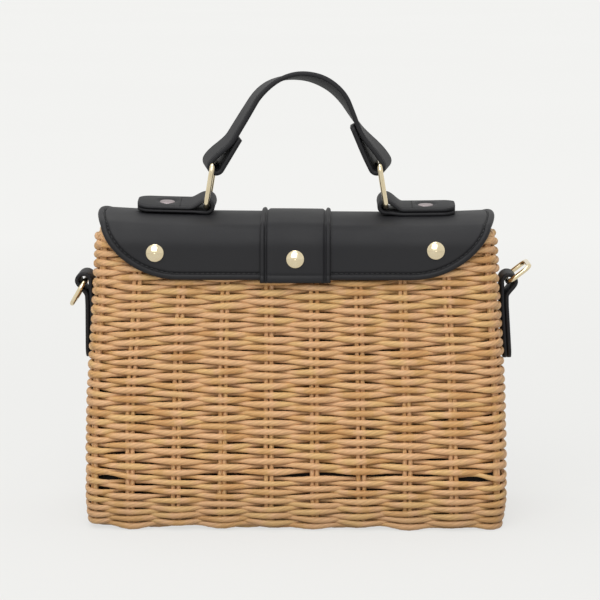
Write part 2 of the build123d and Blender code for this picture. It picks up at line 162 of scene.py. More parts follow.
def new_piece(name, points, faces, material, **values):
    """A smooth mesh from points in millimetres, with named values at its points."""
    mesh = bpy.data.meshes.new(name)
    mesh.from_pydata((np.asarray(points) * mm).tolist(), [], faces)
    for label, amounts in values.items():
        amounts = np.asarray(amounts, dtype=np.float32)
        kind = "FLOAT_VECTOR" if amounts.ndim == 2 else "FLOAT"
        field = "vector" if amounts.ndim == 2 else "value"
        mesh.attributes.new(label, kind, "POINT").data.foreach_set(field, amounts.ravel())
    tools = bmesh.new()
    tools.from_mesh(mesh)
    bmesh.ops.remove_doubles(tools, verts=tools.verts, dist=weld_distance)
    bmesh.ops.recalc_face_normals(tools, faces=tools.faces)
    tools.to_mesh(mesh)
    tools.free()
    mesh.shade_smooth()
    piece = bpy.data.objects.new(name, mesh)
    bpy.context.collection.objects.link(piece)
    mesh.materials.append(material)
    return piece


def grid_faces(rings, around, closed_rings=False):
    """Four-sided faces between rings of points that close round."""
    here = np.arange(rings if closed_rings else rings - 1)[:, None]
    place = np.arange(around)[None, :]
    after = (here + 1) % rings
    beside = (place + 1) % around
    corners = [here * around + place, here * around + beside, after * around + beside, after * around + place]
    return np.stack(corners, axis=-1).reshape(-1, 4).tolist()


def tube_faces(rings, around):
    """Faces of a tube of rings with both ends closed."""
    last = (rings - 1) * around
    return grid_faces(rings, around) + [list(range(around))[::-1], list(range(last, last + around))]


def swept(centres, across, up, widths, lifts):
    """Rings of points round a line: widths along one direction, lifts along the other."""
    rings = centres[:, None, :] + across[:, None, :] * widths[..., None] + up[:, None, :] * lifts[..., None]
    return rings.reshape(-1, 3)


def wobble(places, waves, slow=1):
    """A smooth random wave of unit size that closes on itself, at shares of the way round."""
    numbers = np.arange(slow, slow + waves)
    turns = draw.uniform(0, 2 * np.pi, waves)
    sizes = draw.uniform(0.4, 1, waves)
    total = (sizes[:, None] * np.cos(2 * np.pi * numbers[:, None] * places[None, :] + turns[:, None])).sum(0)
    return total / np.sqrt((sizes**2).sum())


def unit(vectors):
    """Vectors brought to length one."""
    return vectors / np.linalg.norm(vectors, axis=-1, keepdims=True)


def eased(share):
    """A share from 0 to 1 with a soft start and a soft end."""
    return share**2 * (3 - 2 * share)


def along_line(line):
    """Distance gone at each point of a line."""
    return np.concatenate([[0], np.cumsum(np.linalg.norm(np.diff(line, axis=0), axis=1))])


def at_distances(line, places):
    """Points of a line at distances along it."""
    gone = along_line(line)
    return np.column_stack([np.interp(places, gone, line[:, axis]) for axis in range(line.shape[1])])


def upright(flat):
    """A flat line stood up across the bag."""
    return np.column_stack([flat[:, 0], np.zeros(len(flat)), flat[:, 1]])


# Plan of the box
def half_sizes(height):
    """Half the width and depth over the cords at a height."""
    share = height / rim_height
    swell = side_swell * math.exp(-((height - side_swell_height) / side_swell_spread) ** 2)
    tuck = foot_tuck * math.exp(-((height / foot_tuck_spread) ** 2))
    half_width = base_half_width + (rim_half_width - base_half_width) * share + swell - tuck
    half_depth = base_half_depth + (rim_half_depth - base_half_depth) * share - tuck
    return half_width, half_depth


def straight_lengths(height):
    """Half lengths of the flat stretches between the corners."""
    half_width, half_depth = half_sizes(height)
    return half_width - corner_radius, half_depth - corner_radius


def way_round(height):
    """Distance round the box at a height."""
    width, depth = straight_lengths(height)
    return 4 * (width + depth) + 2 * math.pi * corner_radius


def plan(along, height):
    """Points round the box from the near left corner, and the way out at each."""
    width, depth = straight_lengths(height)
    quarter = math.pi / 2 * corner_radius
    ends = np.cumsum([0] + [2 * width, quarter, 2 * depth, quarter] * 2)
    along = np.mod(along, ends[-1])
    stretch = np.clip(np.searchsorted(ends, along, side="right") - 1, 0, 7)
    gone = along - ends[stretch]
    turn = stretch // 2
    in_corner = stretch % 2 == 1
    angle = (turn - 1) * math.pi / 2 + np.where(in_corner, gone / corner_radius, 0)
    outward = np.stack([np.cos(angle), np.sin(angle)], axis=-1)
    heading = np.stack([-np.sin(angle), np.cos(angle)], axis=-1)
    corners = np.array([(-width, -depth), (width, -depth), (width, depth), (-width, depth)])
    straight = corners[turn] + heading * gone[:, None]
    bend = corners[(turn + 1) % 4]
    return np.where(in_corner[:, None], bend, straight) + outward * corner_radius, outward


def stake_places(height):
    """Distance round the box of each stake, from the near face on past corners and sides."""
    width, depth = straight_lengths(height)
    quarter = math.pi / 2 * corner_radius
    on_face = (np.arange(stakes_per_face) + 0.5) * 2 * width / stakes_per_face
    on_side = (np.arange(stakes_per_side) + 0.5) * 2 * depth / stakes_per_side
    places = []
    start = 0
    for shift in (stake_shift, -stake_shift):
        places.extend(start + on_face + shift)
        places.append(start + 2 * width + quarter / 2)
        places.extend(start + 2 * width + quarter + on_side)
        places.append(start + 2 * width + quarter * 3 / 2 + 2 * depth)
        start += 2 * (width + depth + quarter)
    return np.array(places)


def lifted(flat_points, heights):
    """Plan points given their heights."""
    return np.column_stack([flat_points, np.broadcast_to(heights, len(flat_points))])


# Weave
row_heights = [(row + 0.5) * slot_low / lower_rows for row in range(lower_rows)]
row_heights += [
    slot_high + (row + 0.5) * (shoulder_height - slot_high) / upper_rows for row in range(upper_rows)
]
column_count = 2 * (stakes_per_face + stakes_per_side) + 4

# How far the loose course has closed at each stake: listed for the near face, drawn at random elsewhere
near_closing_shares = [0.8, 1, 0.95, 0.55, 0.62, 0.55, 0.92, 0.75, 0.4]
free_closing_shares = draw.uniform(0.5, 1, column_count - len(near_closing_shares))
closing_shares = np.concatenate([near_closing_shares, free_closing_shares])
closing_reach = 2.1
closing_rows = 5
# One slack row rides up beside both ends of the near face
slack_row = lower_rows - 1
slack_lift = 2.1
slack_spread = 11
slack_from_stake = 12.5
# The foot: its rows rise a little, more on the left, and dip between stakes
foot_lift = 0.5
foot_left_lift = 1.3
foot_scallop = 0.9
foot_rows = 3.2


def between_stakes(along, height, amounts):
    """Amounts at the stakes, with one before the first and one past the last, spread round the box."""
    places = stake_places(height)
    total = way_round(height)
    known = np.concatenate([places[-1:] - total, places, places[:1] + total])
    return np.interp(along, known, amounts)


def slack_bump(along, height):
    """Where the slack row rides up: a smooth hump beside each end of the near face."""
    places = stake_places(height)
    total = way_round(height)
    left = places[0] - slack_from_stake
    right = places[stakes_per_face - 1] + slack_from_stake
    bump = 0
    for place in (left, right):
        apart = np.mod(along - place + total / 2, total) - total / 2
        bump = bump + np.exp(-((apart / slack_spread) ** 2))
    return slack_lift * bump


def cord_values(tone, gone, apart):
    """A cord's tone, its creases and its place along the paper's fibres, point by point."""
    around = len(ridge_shares)
    crease = np.tile((ridge_shares < 1).astype(float), len(gone))
    fibres = np.stack([
        np.repeat(gone / fibre_length + apart, around),
        np.tile(fibre_wrap * np.cos(cord_spokes), len(gone)),
        np.tile(fibre_wrap * np.sin(cord_spokes), len(gone)),
    ], axis=-1)
    return np.repeat(tone, around), crease, fibres


def cord_hoop(row, height):
    """One row of cord round the box: points, faces and values."""
    total = way_round(height)
    steps = round(total / cord_step)
    share = np.arange(steps) / steps
    along = share * total
    columns = np.arange(-1, column_count + 1)
    phase = between_stakes(along, height, np.pi * columns)
    wave = np.cos(phase + np.pi * row)
    front = 0.5 + 0.5 * np.sign(wave) * np.abs(wave) ** float_power
    over = np.clip(2 * front - 1, 0, 1)
    under = np.clip(1 - 2 * front, 0, 1)
    size = lower_cord if row < lower_rows else upper_cord
    size = size * (1 + size_stray_share * wobble(share, 9, 12))
    tall = size * (cord_tall_share + over_tall_share * over + under_tall_share * under)
    deep = size * (cord_deep_share + over_deep_share * over)
    sunk = cord_back + (cord_front - cord_back) * front + depth_stray * wobble(share, 7, 9)
    from_slot = row - (lower_rows - 0.5)
    closing = between_stakes(along, height, closing_shares[columns % column_count])
    pull = closing_reach * closing * np.clip(1 - (abs(from_slot) - 0.5) / closing_rows, 0, 1)
    flat_points, outward = plan(along, height)
    from_foot = math.exp(-row / foot_rows)
    to_left = np.clip(0.5 - flat_points[:, 0] / base_half_width / 2, 0, 1)
    heights = height - np.sign(from_slot) * pull + height_stray * wobble(share, 12, 6)
    if row == slack_row:
        heights = heights + slack_bump(along, height)
    dip = foot_scallop * (0.5 - 0.5 * np.cos(2 * phase))
    heights = heights + from_foot * (foot_lift + foot_left_lift * to_left + dip)
    heights = np.clip(heights, tall + floor_gap, rim_height - rim_gap - tall)
    centres = lifted(flat_points - outward * sunk[:, None], heights)
    upward = np.tile([0, 0, 1], (steps, 1))
    angle = cord_spokes + 2 * np.pi * round(total / cord_lay) * share[:, None]
    points = swept(
        centres, lifted(outward, 0), upward,
        deep[:, None] * ridge_shares * np.cos(angle), tall[:, None] * ridge_shares * np.sin(angle),
    )
    tone = 0.5 + hoop_tone_stray * wobble(share, 16, 8) + row_tone_stray * draw.normal()
    faces = grid_faces(steps, len(ridge_shares), True)
    return points, faces, *cord_values(tone, along, row_fibres_apart * row)


def cord_run(centres, outward, radius, number, closed=False):
    """A plain length of twisted cord along a line: points, faces and values."""
    ahead = np.roll(centres, -1, 0) if closed else np.gradient(centres, axis=0) + centres
    heading = unit(ahead - centres)
    side = unit(np.cross(heading, outward))
    outward = np.cross(side, heading)
    gone = along_line(centres)
    share = gone / gone[-1]
    around = len(ridge_shares)
    turns = round(gone[-1] / cord_lay) if closed else gone[-1] / cord_lay
    angle = cord_spokes - 2 * np.pi * turns * share[:, None]
    points = swept(
        centres, outward, side, radius * ridge_shares * np.cos(angle), radius * ridge_shares * np.sin(angle)
    )
    tone = 0.5 + run_tone_stray * wobble(share, 6) + cord_tone_stray * draw.normal()
    faces = grid_faces(len(centres), around, True) if closed else tube_faces(len(centres), around)
    return points, faces, *cord_values(tone, gone, run_fibres_apart * number)


def join_cords(name, cords, material):
    """Several cords as one piece."""
    count = 0
    faces = []
    for points, cord_faces, *_ in cords:
        faces.extend([corner + count for corner in face] for face in cord_faces)
        count += len(points)
    points, _, tones, creases, fibres = zip(*cords)
    return new_piece(
        name, np.concatenate(points), faces, material, cord_tone=np.concatenate(tones),
        crease=np.concatenate(creases), fibre_place=np.concatenate(fibres),
    )


def weave_band(name, rows, material):
    """Neighbouring rows of cord as one piece."""
    return join_cords(name, [cord_hoop(row, row_heights[row]) for row in rows], material)


stake_depth = 3.4
stake_radius = 1.32
stake_low = 2.6
stake_high = 159
stake_step = 2.2
stake_gap = 0.05
stake_stray = 0.25


def stake_cords(material):
    """The upright pairs of cord that the rows pass over and under."""
    runs = []
    heights = np.linspace(stake_low, stake_high, round((stake_high - stake_low) / stake_step))
    for column in range(column_count):
        for side in (-1, 1):
            drift = side * (stake_radius + stake_gap) + stake_stray * wobble(heights / rim_height / 2, 4)
            centres = []
            outwards = []
            for height, shift in zip(heights, drift):
                place = stake_places(height)[column:column + 1] + shift
                flat_point, outward = plan(place, height)
                centres.append([*(flat_point - outward * stake_depth)[0], height])
                outwards.append([*outward[0], 0])
            runs.append(cord_run(np.array(centres), np.array(outwards), stake_radius, column))
    return join_cords("stake_cords", runs, material)


border_inset = 5
border_height = 158
border_strands = 3
border_twist = 1.45
border_strand_radius = 1.6
border_lay = 23
border_step = 1.6
border_first_number = 70


def rim_border(material):
    """Three strands laid into a rope along the rim."""
    total = way_round(border_height)
    steps = round(total / border_step)
    along = np.arange(steps) / steps * total
    flat_points, outward = plan(along, border_height)
    centres = lifted(flat_points - outward * border_inset, border_height)
    outward = lifted(outward, 0)
    runs = []
    for strand in range(border_strands):
        angle = 2 * np.pi * (round(total / border_lay) * along / total + strand / border_strands)
        path = centres + border_twist * (
            np.cos(angle)[:, None] * outward + np.sin(angle)[:, None] * np.array([0, 0, 1])
        )
        runs.append(cord_run(path, outward, border_strand_radius, border_first_number + strand, True))
    return join_cords("rim_border", runs, material)


base_height = 3.4
base_sway = 1.35
base_cord = 1.75
base_pitch = 4.15
base_reach = 7
base_step = 1.5
base_stake_points = 40
base_first_number = 90
base_stake_first_number = 120


def base_weave(material):
    """The underside: cords along the box, over and under the stakes that cross it."""
    width, depth = straight_lengths(0)
    rows = round(2 * (base_half_depth - base_reach) / base_pitch)
    pitch = 2 * width / stakes_per_face
    lines = []
    for row in range(rows):
        y = (row - (rows - 1) / 2) * base_pitch
        beside_corner = max(abs(y) - depth, 0)
        inset = corner_radius - math.sqrt(corner_radius**2 - beside_corner**2)
        reach = base_half_width - base_reach - inset
        x = np.linspace(-reach, reach, round(2 * reach / base_step))
        sway = base_sway * np.cos(np.pi * ((x - stake_shift) / pitch + row))
        line = np.column_stack([x, np.full(len(x), y), base_height + sway])
        lines.append((line, base_cord, base_first_number + row))
    for stake in range(stakes_per_face):
        for side in (-1, 1):
            x = (stake - (stakes_per_face - 1) / 2) * pitch + stake_shift + side * stake_radius
            y = np.linspace(base_reach - base_half_depth, base_half_depth - base_reach, base_stake_points)
            line = np.column_stack([np.full(len(y), x), y, np.full(len(y), base_height)])
            lines.append((line, stake_radius, base_stake_first_number + stake))
    upward = np.array([0, 0, 1.0])
    runs = [cord_run(line, np.tile(upward, (len(line), 1)), radius, number) for line, radius, number in lines]
    return join_cords("base_weave", runs, material)


lining_inset = 7.9
lining_wall = 0.85
lining_floor = 7.4
lining_top = 160
# The folded hem at the mouth: drops below the top, and steps in from the outer wall
lining_mouth = ((0, 0.3), (0, 1.15), (0.5, 1.45), (8.4, 1.45), (9, 0.85))
lining_outer_high = 159.6
lining_inner_high = 150
lining_inner_low = 9.9
lining_points = 240
lining_middle = base_half_width / 2
lining_wrinkle = 0.5
crease_levels = 4


def lining_sack(material):
    """The cotton sack inside: outer wall, folded hem at the mouth, wrinkled inner wall and floor."""
    share = np.arange(lining_points) / lining_points
    creases = [wobble(share, 14, 5) for _ in range(crease_levels)]
    inner_inset = lining_inset + lining_wall
    rings = []

    def ring(height, inset, pull=1.0):
        flat_points, outward = plan(share * way_round(height), height)
        inset = np.broadcast_to(inset, lining_points)
        flat_points = flat_points - outward * inset[:, None]
        spine = np.clip(flat_points[:, 0], -lining_middle, lining_middle)
        middle = np.column_stack([spine, np.zeros(lining_points)])
        rings.append(lifted(middle + (flat_points - middle) * pull, height))

    for pull in (0, 0.35, 0.7):
        ring(lining_floor, lining_inset, pull)
    for height in np.linspace(lining_floor, lining_outer_high, 10):
        ring(height, lining_inset)
    for drop, step in lining_mouth:
        ring(lining_top - drop, lining_inset + step)
    for height in np.linspace(lining_inner_high, lining_inner_low, 36):
        place = (lining_top - height) / lining_top * (crease_levels - 1)
        upper = int(min(place, crease_levels - 2))
        crease = creases[upper] * (upper + 1 - place) + creases[upper + 1] * (place - upper)
        ring(height, inner_inset + lining_wrinkle * (1 + crease) / 2)
    for pull in (0.97, 0.7, 0.35, 0):
        ring(lining_floor + lining_wall, inner_inset, pull)
    return new_piece("lining_sack", np.concatenate(rings), grid_faces(len(rings), lining_points), material)


# Leather, laid out flat: x along the bag, s over the rim from the middle of the crown
face_lean = math.atan2(base_half_depth - rim_half_depth, rim_height)
rim_reach = half_sizes(shoulder_height)[1] - rim_rounding / math.cos(face_lean)
crown_radius = rim_rounding + leather_outer + rim_reach / math.sin(2 * math.atan2(crown_rise, rim_reach))
crown_middle = shoulder_height + rim_rounding + leather_outer + crown_rise - crown_radius
drop_turn = math.pi / 2 - face_lean


def soft_shoulder():
    """Centre of the round that leads from the crown to the drop, softer than the rim below it."""
    outward = np.array([math.sin(drop_turn), math.cos(drop_turn)])
    downward = np.array([math.cos(drop_turn), -math.sin(drop_turn)])
    from_crown = np.array([rim_reach, shoulder_height - crown_middle])
    from_crown = from_crown - outward * (shoulder_radius - rim_rounding - leather_outer)
    across = from_crown @ downward
    reach = crown_radius - shoulder_radius
    root = math.sqrt(across**2 - from_crown @ from_crown + reach**2)
    slide = min(-across - root, -across + root, key=abs)
    return from_crown + downward * slide + np.array([0, crown_middle])


shoulder_reach, shoulder_middle = soft_shoulder()
crown_turn = math.atan2(shoulder_reach, shoulder_middle - crown_middle)
crown_length = crown_turn * crown_radius
shoulder_length = (drop_turn - crown_turn) * shoulder_radius
crown_dip = -0.5
crown_lift = 1.6
crown_slope = 0.7
crown_lift_low = 150
crown_lift_high = 167


def crown_sag(x):
    """How far the crown stands off its plain round: raised towards its ends, more on the left."""
    share = x / cover_side_half
    return crown_dip + crown_lift * share**4 - crown_slope * share


def drop_place(height):
    """Distance over the leather from the crown's middle down to a height on the drop."""
    top = shoulder_middle + shoulder_radius * math.cos(drop_turn)
    return crown_length + shoulder_length + (top - height) / math.sin(drop_turn)


def on_leather(x, s, lift):
    """Points on the leather's outer face, raised by a lift."""
    x, s, lift = np.broadcast_arrays(np.asarray(x, float), np.asarray(s, float), np.asarray(lift, float))
    gone = np.abs(s)
    on_crown = gone < crown_length
    turn = np.where(on_crown, gone / crown_radius, crown_turn + (gone - crown_length) / shoulder_radius)
    turn = np.minimum(turn, drop_turn)
    fall = np.maximum(gone - crown_length - shoulder_length, 0)
    radius = np.where(on_crown, crown_radius, shoulder_radius) + lift
    reach = np.where(on_crown, 0, shoulder_reach) + radius * np.sin(turn) + fall * math.cos(drop_turn)
    height = np.where(on_crown, crown_middle, shoulder_middle) + radius * np.cos(turn)
    height = height - fall * math.sin(drop_turn)
    upper = np.clip((height - crown_lift_low) / (crown_lift_high - crown_lift_low), 0, 1)
    height = height + eased(upper) * crown_sag(x)
    return np.stack([x, np.sign(s) * reach, height], axis=-1)


def bezier(ends, handles, count):
    """Points along a cubic curve."""
    share = np.linspace(0, 1, count)[:, None]
    a, d = (np.array(point, float) for point in ends)
    b, c = (np.array(point, float) for point in handles)
    rest = 1 - share
    return a * rest**3 + 3 * b * rest**2 * share + 3 * c * rest * share**2 + d * share**3


cover_points = 456
corner_handle_shares = ((0.03, 0.36), (0.44, 0.99))


def cover_outline():
    """The cover's edge laid out flat: straight lower edges, rounded corners and bowed ends."""
    low = drop_place(cover_low)
    top_turn = math.acos((cover_corner_top - shoulder_middle) / shoulder_radius)
    corner = crown_length + (top_turn - crown_turn) * shoulder_radius
    foot = (cover_side_half - cover_corner_width, low)
    top = (cover_side_half, corner)
    drop = cover_corner_top - cover_low
    handles = []
    for across, down in corner_handle_shares:
        height = cover_corner_top - drop * down
        handles.append((cover_side_half - cover_corner_width * across, drop_place(height)))
    curve = bezier((foot, top), handles[::-1], 60)
    bow = np.linspace(corner, 0, 40)[1:]
    end = np.column_stack([cover_side_half + cover_side_bulge * (1 - (bow / corner) ** 2), bow])
    across = np.linspace(0, foot[0], 40)[:-1]
    quarter = np.concatenate([np.column_stack([across, np.full(len(across), low)]), curve, end])
    quarter = at_distances(quarter, np.linspace(0, along_line(quarter)[-1], cover_points // 4 + 1))
    half = np.concatenate([quarter, (quarter * [1, -1])[::-1][1:]])
    return np.concatenate([half, (half * [-1, 1])[::-1][1:-1]])


def inward_of(outline):
    """The way in at each point of a closed outline."""
    heading = np.roll(outline, -1, 0) - np.roll(outline, 1, 0)
    inward = unit(np.column_stack([heading[:, 1], -heading[:, 0]]))
    if (inward * outline).sum() > 0:
        inward = -inward
    for _ in range(6):
        inward = unit(inward + np.roll(inward, 1, 0) + np.roll(inward, -1, 0))
    return inward


# The hem's height at distances from the edge: a rolled edge, then a sunk line of stitches
hem_section = (
    (0, -1.2), (0.12, -0.7), (0.35, -0.3), (0.7, 0.05), (1.2, 0.26), (1.8, 0.34), (2.4, 0.26), (2.8, 0.02),
    (3.1, -0.4), (3.4, -0.78), (3.7, -0.82), (4, -0.55), (4.4, -0.15), (4.9, -0.01), (5.5, 0),
)
# The same on its inner side, towards the edge
hem_under = ((1, -leather_thickness), (0.35, -2.25), (0.08, -1.8))
cover_spine = 60
stitch_line = 3.55
stitch_lift = -0.55
stitch_reach = 0.5
stitch_nudge = 0.2
stitch_pitch = 2.75
stitch_length = 2.1
stitch_radius = 0.36


def leather_cover(material):
    """Apron, top panel and flap as one sheet with a rolled, stitched edge."""
    outline = cover_outline()
    inward = inward_of(outline)
    inner = outline + inward * hem_section[-1][0]
    middle = np.column_stack([np.clip(inner[:, 0], -cover_spine, cover_spine), np.zeros(len(inner))])
    under = [(inner + (middle - inner) * share, -leather_thickness) for share in np.linspace(1, 0, 26)]
    hem = [(outline + inward * distance, lift) for distance, lift in hem_under + hem_section]
    upper = [(inner + (middle - inner) * share, 0) for share in np.linspace(0, 1, 52)[1:]]
    rings = [on_leather(flat[:, 0], flat[:, 1], lift) for flat, lift in under + hem + upper]
    return new_piece("leather_cover", np.concatenate(rings), grid_faces(len(rings), len(outline)), material)


bead_points = 6
bead_rows = 5
bead_end_share = 0.9


def beads(name, centres, along, up, length, radius, material):
    """Stitches: a small rounded bead of thread at each place."""
    latitude = np.linspace(-1, 1, bead_rows + 2)[1:-1, None] * math.pi / 2 * bead_end_share
    angle = 2 * np.pi * np.arange(bead_points) / bead_points
    ring_long = np.sin(latitude) * np.ones(bead_points) * length / 2
    ring_side = np.cos(latitude) * np.cos(angle) * radius
    ring_up = np.cos(latitude) * np.sin(angle) * radius
    shape = np.stack([ring_long, ring_side, ring_up], axis=-1).reshape(-1, 3)
    frames = np.stack([along, np.cross(up, along), up], axis=1)
    points = centres[:, None, :] + np.einsum("pk,nkc->npc", shape, frames)
    one = tube_faces(bead_rows, bead_points)
    faces = []
    for number in range(len(centres)):
        faces.extend([corner + number * len(shape) for corner in face] for face in one)
    return new_piece(name, points.reshape(-1, 3), faces, material)


def even_steps(line, pitch):
    """Places at an even pitch along a closed line of points."""
    line = np.concatenate([line, line[:1]])
    total = along_line(line)[-1]
    count = round(total / pitch)
    return at_distances(line, (np.arange(count) + 0.5) * total / count)


def cover_stitches(material):
    """The thread along the cover's edge."""
    outline = cover_outline()
    line = outline + inward_of(outline) * stitch_line
    flat = even_steps(line, stitch_pitch)
    ahead = flat + unit(np.roll(flat, -1, 0) - np.roll(flat, 1, 0)) * stitch_nudge
    centres = on_leather(flat[:, 0], flat[:, 1], stitch_lift)
    up = unit(on_leather(flat[:, 0], flat[:, 1], stitch_reach) - centres)
    along = unit(on_leather(ahead[:, 0], ahead[:, 1], stitch_lift) - centres)
    return beads("cover_stitches", centres, along, up, stitch_length, stitch_radius, material)


# The band's height above the leather across one half, from its edge to its middle
band_section = (
    (19, 0), (18.9, 0.9), (18.6, 1.6), (18, 1.98), (17.4, 2.05), (16.9, 1.9), (16.5, 1.2), (16.2, 0.5),
    (15.8, 0.4), (15.4, 0.75), (15, 1.2), (14.4, 1.4), (11, 1.42), (7, 1.44), (3.5, 1.45), (0, 1.45),
)
band_under = ((17, -0.15), (0, -0.15), (-17, -0.15))
# Its share of that height towards its lower end: rounded, with a sunk hem line
band_end_shares = (
    (0, 0.1), (0.15, 0.55), (0.5, 0.88), (1, 1.02), (2.2, 1.1), (3.4, 1.04), (3.9, 0.84), (4.2, 0.78),
    (4.5, 0.84), (5, 0.98), (6, 1),
)


def centre_band(material):
    """The band over the middle of the cover, with a folded ridge along each edge."""
    low = drop_place(band_low)
    ends = [low - distance for distance, _ in band_end_shares]
    shares = [share for _, share in band_end_shares]
    fall = np.linspace(ends[-1], crown_length + shoulder_length, 10)[1:-1]
    bend = np.linspace(crown_length + shoulder_length, crown_length, 14)
    crown = np.linspace(crown_length, 0, 14)[1:]
    half = np.concatenate([ends, fall, bend, crown])
    places = np.concatenate([half, -half[::-1][1:]])
    half_shares = np.concatenate([shares, np.ones(len(half) - len(shares))])
    scale = np.concatenate([half_shares, half_shares[::-1][1:]])
    left = [(-x, height) for x, height in band_section]
    section = np.array(left + list(band_section[::-1][1:]) + list(band_under))
    rings = [on_leather(section[:, 0], s, section[:, 1] * share) for s, share in zip(places, scale)]
    return new_piece("centre_band", np.concatenate(rings), tube_faces(len(rings), len(section)), material)


# Straps: one flat strip along a line, with rounded and grooved edges
strap_edge = (
    (0, 0), (0.12, 0.3), (0.4, 0.44), (0.9, 0.5), (1.6, 0.5), (1.9, 0.46), (2.15, 0.38), (2.4, 0.46),
    (2.7, 0.5), (3.4, 0.5),
)
strap_middle_shares = (-0.6, -0.2, 0.2, 0.6)
tab_middle_shares = np.linspace(-0.9, 0.9, 15)


def strap_points(centres, across, up, half_widths, thickness, middle_shares=strap_middle_shares):
    """Rings of a strap: an edge, the upper face with a groove beside each edge, the lower face."""
    widths = []
    lifts = []
    for half_width in half_widths:
        top = [(half_width - inset, height * thickness) for inset, height in strap_edge]
        middle = half_width - strap_edge[-1][0]
        top += [(-share * middle, thickness / 2) for share in middle_shares]
        top += [(inset - half_width, height * thickness) for inset, height in strap_edge[::-1]]
        under = [(inset - half_width, -height * thickness) for inset, height in strap_edge[1:4]]
        under += [(half_width - inset, -height * thickness) for inset, height in strap_edge[3:0:-1]]
        widths.append([w for w, _ in top + under])
        lifts.append([lift for _, lift in top + under])
    return swept(centres, across, up, np.array(widths), np.array(lifts)), len(widths[0])


def end_widths(gone, total, half_width, rounding):
    """Half widths along a strap with rounded corners at both ends."""
    from_end = np.minimum(gone, total - gone)
    near_end = np.clip(rounding - from_end, 0, rounding)
    return half_width - rounding + np.sqrt(rounding**2 - near_end**2)


def s_bend(start, end, count):
    """A soft step that leads from one level run to another."""
    share = np.linspace(0, 1, count)
    return np.column_stack([
        start[0] + (end[0] - start[0]) * share, start[1] + (end[1] - start[1]) * eased(share)
    ])


def fold_line(thickness, slit, loop_radius, neck):
    """Middle line of a fold: round the loop and down the neck, first axis along the strap."""
    middle_radius = loop_radius + thickness / 2
    centre = thickness + loop_radius
    turn = np.linspace(-math.pi / 2, -3 * math.pi / 2, 22)
    loop = np.column_stack([middle_radius * np.cos(turn), centre + middle_radius * np.sin(turn)])
    upper = thickness * 1.5 + slit
    return np.concatenate([loop, s_bend(loop[-1], (neck, upper), 14)[1:]])


def runs_between(stops, step):
    """Places that divide each stretch between stops into even steps."""
    places = [np.linspace(a, b, max(2, round(abs(b - a) / step) + 1))[:-1] for a, b in zip(stops, stops[1:])]
    return np.concatenate(places + [[stops[-1]]])


def end_places(length, rounding, step):
    """Places along a straight run that crowd at its rounded end."""
    crowd = length - rounding * (1 - np.sin(np.linspace(0, math.pi / 2, 9)))
    return np.concatenate([runs_between((0, length - rounding), step)[:-1], crowd])


def folded_tab_line(thickness, slit, loop_radius, neck, length, rounding):
    """Middle line of a folded tab, from the end of its lower layer to the end of its upper layer."""
    lower = end_places(length, rounding, tab_lower_step)[::-1]
    fold = fold_line(thickness, slit, loop_radius, neck)
    upper = neck + end_places(length - neck, rounding, tab_upper_step)[1:]
    return np.concatenate([
        np.column_stack([lower, np.full(len(lower), thickness / 2)]), fold[1:],
        np.column_stack([upper, np.full(len(upper), fold[-1][1])]),
    ])


def level_normals(line):
    """Direction to the left of a flat line at each point."""
    heading = unit(np.gradient(line, axis=0))
    return np.column_stack([-heading[:, 1], heading[:, 0]])


tab_seat = 168.7
tab_reach = 49
tab_thickness = 2.3
tab_half_width = 12
tab_length = 38
tab_neck = 9.5
tab_loop_radius = 2.4
tab_rounding = 7
tab_slit = 0.2
tab_lower_step = 2
tab_upper_step = 1
tab_cross_stitch = 14.5
cross_stitch_inset = 3.4
cross_stitch_pitch = 2.4
cross_stitch_length = 1.9
cross_stitch_radius = 0.34
cross_stitch_lift = 0.05
# Under the handle's pull each tab stands off the crown and tips to the near face: lift and stretch at
# its middle, and their change from the middle to the far edge
tab_stands = {-1: ((1.25, 0.35), (0.96, 0.28)), 1: ((0.2, 0.2), (1.06, 0.18))}
tab_loop_stand = ((0.4, 0.2), (0.98, 0.12))
tab_rivet_place = 22
dimple_radius = 5.7
dimple_depth = 0.8
dimple_power = 8
disc_section = ((0, 0.5), (1.6, 0.49), (3.1, 0.45), (3.8, 0.34), (4.15, 0.12), (4.2, -0.3))
disc_points = 40


def folded_tab(thickness, loop_radius, neck, length, half_width, rivet_place):
    """A folded tab laid out along its own length: points with a dimple at the rivet, and faces."""
    line = folded_tab_line(thickness, tab_slit, loop_radius, neck, length, tab_rounding)
    gone = along_line(line)
    half_widths = end_widths(gone, gone[-1], half_width, tab_rounding)
    across = np.tile([0, 1.0, 0], (len(line), 1))
    up = upright(level_normals(line))
    points, around = strap_points(upright(line), across, up, half_widths, thickness, tab_middle_shares)
    top = line[-1][1] + thickness / 2
    apart = np.hypot(points[:, 0] - rivet_place, points[:, 1])
    on_top = points[:, 2] > top - thickness / 3
    points[:, 2] -= dimple_depth * np.exp(-((apart / dimple_radius) ** dimple_power)) * on_top
    return points, tube_faces(len(line), around), top


def rivet_disc(place, floor):
    """A flat rivet head, turned round its own axis, in the layout of its tab."""
    turn = 2 * np.pi * np.arange(disc_points) / disc_points
    rings = []
    for radius, height in disc_section:
        level = np.full(disc_points, floor + height)
        rings.append(np.column_stack([place + radius * np.cos(turn), radius * np.sin(turn), level]))
    faces = grid_faces(len(rings), disc_points)
    last = (len(rings) - 1) * disc_points
    faces.append(list(range(last, last + disc_points)))
    return np.concatenate(rings), faces


